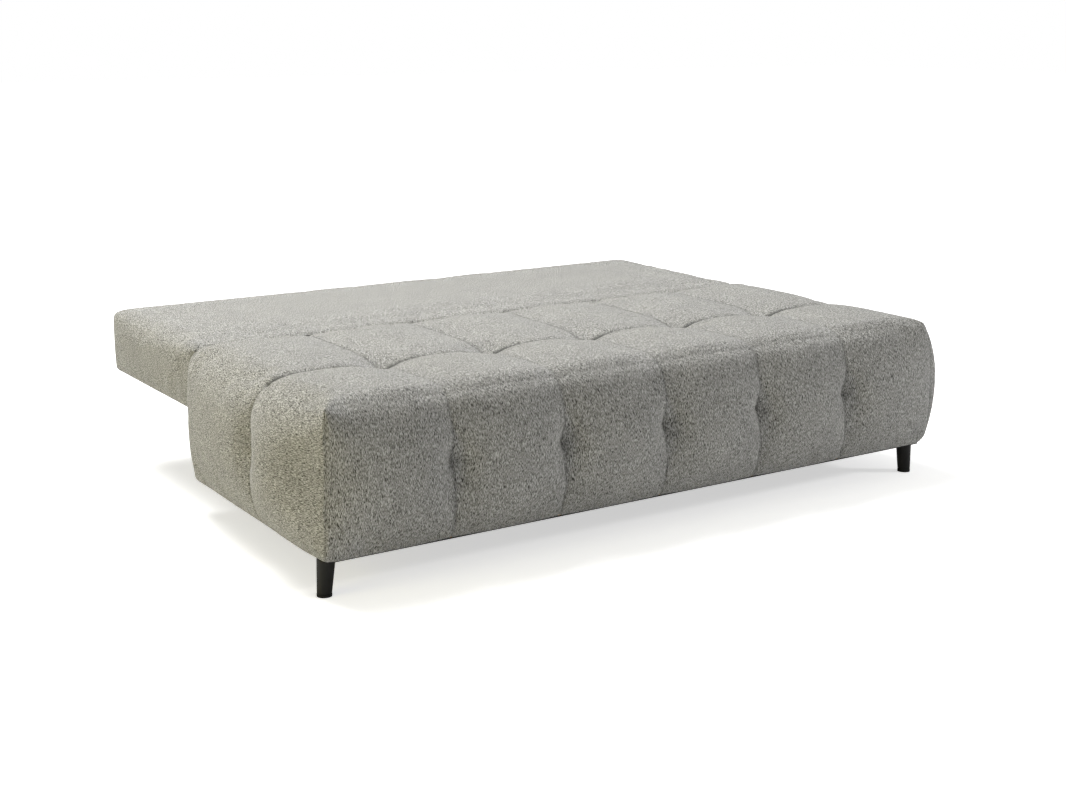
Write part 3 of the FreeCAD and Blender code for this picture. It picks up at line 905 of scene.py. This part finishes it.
painted_wood = grained("painted_wood", ((0.006, 0.006, 0.006), (0.014, 0.014, 0.013)),
                       (90, 90, 12), 0.5, 0.12)
raw_timber = grained("raw_timber", ((0.42, 0.27, 0.14), (0.62, 0.44, 0.26)), (8, 60, 60), 0.65, 0.3)
black_steel = grained("black_steel", ((0.012, 0.012, 0.013), (0.022, 0.022, 0.024)),
                      (700, 700, 700), 0.45, 0.25)
zinc_steel = grained("zinc_steel", ((0.50, 0.50, 0.48), (0.66, 0.66, 0.64)),
                     (260, 260, 260), 0.35, 0.1, metallic=1.0)
rubber = grained("rubber", ((0.010, 0.010, 0.010), (0.02, 0.02, 0.02)), (400, 400, 400), 0.8, 0.2)
under_cloth = grained("under_cloth", ((0.008, 0.008, 0.008), (0.022, 0.022, 0.022)),
                      (900, 900, 900), 0.9, 0.5)

# %% [markdown]
# ## Each finish on its pieces
#
# The record gives every CAD node a named slot, so one table dresses them all.

# %% Dress the CAD pieces and the legs
FINISHES = {
    "black_wood": painted_wood,
    "timber": raw_timber,
    "black_steel": black_steel,
    "zinc_steel": zinc_steel,
    "rubber": rubber,
    "cover_board": under_cloth,
    "upholstery": back_cloth,
}
slots = {entry["node"]: entry["material_slot"] for entry in frame["record"]["subparts"]}
for name, item in frame["nodes"].items():
    for material_slot in item.material_slots:
        material_slot.material = FINISHES[slots[name]]
for leg in legs:
    dress(leg, painted_wood)
print("dressed", len(frame["nodes"]), "nodes and", len(legs), "legs")

# %% [markdown]
# ## Studio
#
# The object stands on a pale seamless floor, which glows a little where the camera sees it.
# Close to the object the glow is weaker, so that the contact shadow shows where it stands.

# %% Floor
GLOW_REACH = (1.6, 4.0)
GLOW = (0.58, 0.85)


def make_floor():
    """Pale paper that glows a little, and more further away, so that it has no horizon."""
    start_fresh()
    bpy.ops.mesh.primitive_plane_add(size=60, location=(0, 0, 0))
    floor = bpy.context.object
    floor.name = "floor"
    n = Nodes("floor_paper")
    paper = n.noise(n.scaled((40, 40, 40)))
    n.link(n.ramp(paper, ((0.3, (0.90, 0.90, 0.90)), (0.7, (0.92, 0.92, 0.92)))), n.shader,
           "Base Color")
    away = n.add("ShaderNodeVectorMath", operation="LENGTH")
    n.link((n.place, "Object"), away, 0)
    fading = n.add("ShaderNodeMapRange")
    for socket, value in zip(("From Min", "From Max", "To Min", "To Max"), (*GLOW_REACH, *GLOW)):
        fading.inputs[socket].default_value = value
    n.link((away, "Value"), fading, "Value")
    seen = (n.add("ShaderNodeLightPath"), "Is Camera Ray")
    n.link(n.maths("MULTIPLY", seen, (fading, "Result")), n.shader, "Emission Strength")
    n.shader.inputs["Emission Color"].default_value = (1, 1, 1, 1)
    n.shader.inputs["Roughness"].default_value = 1.0
    n.shader.inputs["Specular IOR Level"].default_value = 0.0
    dress(floor, n.material)


make_floor()
print("the floor glows", GLOW, "at", GLOW_REACH, "m away")

# %% [markdown]
# ## Lights
#
# A large light above and behind makes the lying surface the brightest. A warm one lights the
# left end. A small one on the right rakes over the front, so that the tufts cast shade.

# %% Lights


def soft_light(name, place, target, size, power, colour=(1, 1, 1)):
    """A square light that points at the target."""
    start_fresh()
    bpy.ops.object.light_add(type="AREA", location=place)
    light = bpy.context.object
    light.name = name
    light.data.shape = "SQUARE"
    light.data.size = size
    light.data.energy = power
    light.data.color = colour
    light.rotation_euler = (Vector(target) - Vector(place)).to_track_quat("-Z", "Y").to_euler()


soft_light("top_light", (-0.6, 1.5, 4.3), (0, 0, 0.3), 2.8, 325)
soft_light("front_light", (4.6, -3.4, 2.3), (0.4, -0.7, 0.3), 0.7, 88)
soft_light("left_light", (-5.0, -0.9, 1.1), (0, 0, 0.3), 2.5, 60, (1.0, 0.87, 0.25))

# %% [markdown]
# ## Sky
#
# The dim white sky is bright where the camera looks at it, so that the background is white
# without lighting the object too much.

# %% Sky
SKY_LIGHT = 0.29
SKY_SEEN = 1.0
world = bpy.data.worlds.new("studio")
bpy.context.scene.world = world
world.use_nodes = True
sky = world.node_tree.nodes["Background"]
rays = world.node_tree.nodes.new("ShaderNodeLightPath")
level = world.node_tree.nodes.new("ShaderNodeMapRange")
level.inputs["To Min"].default_value = SKY_LIGHT
level.inputs["To Max"].default_value = SKY_SEEN
world.node_tree.links.new(rays.outputs["Is Camera Ray"], level.inputs["Value"])
world.node_tree.links.new(level.outputs["Result"], sky.inputs["Strength"])
sky.inputs["Color"].default_value = (1, 1, 1, 1)
bpy.context.scene.view_settings.view_transform = "Standard"

# %% [markdown]
# ## Camera
#
# The camera stands at the left, a little above the sofa bed, and looks down on it.

# %% Camera
YAW = 33.28
PITCH = 13.61
CAMERA_BACK = 3.039
start_fresh()
bpy.ops.object.camera_add(location=(-2.384, front_plane - CAMERA_BACK, 1.276))
camera = bpy.context.object
camera.rotation_euler = (math.radians(90 - PITCH), 0, math.radians(-YAW))
camera.data.lens = 53.0
camera.data.sensor_width = 36.0
bpy.context.scene.camera = camera
print("camera", camera.location, "lens", camera.data.lens)
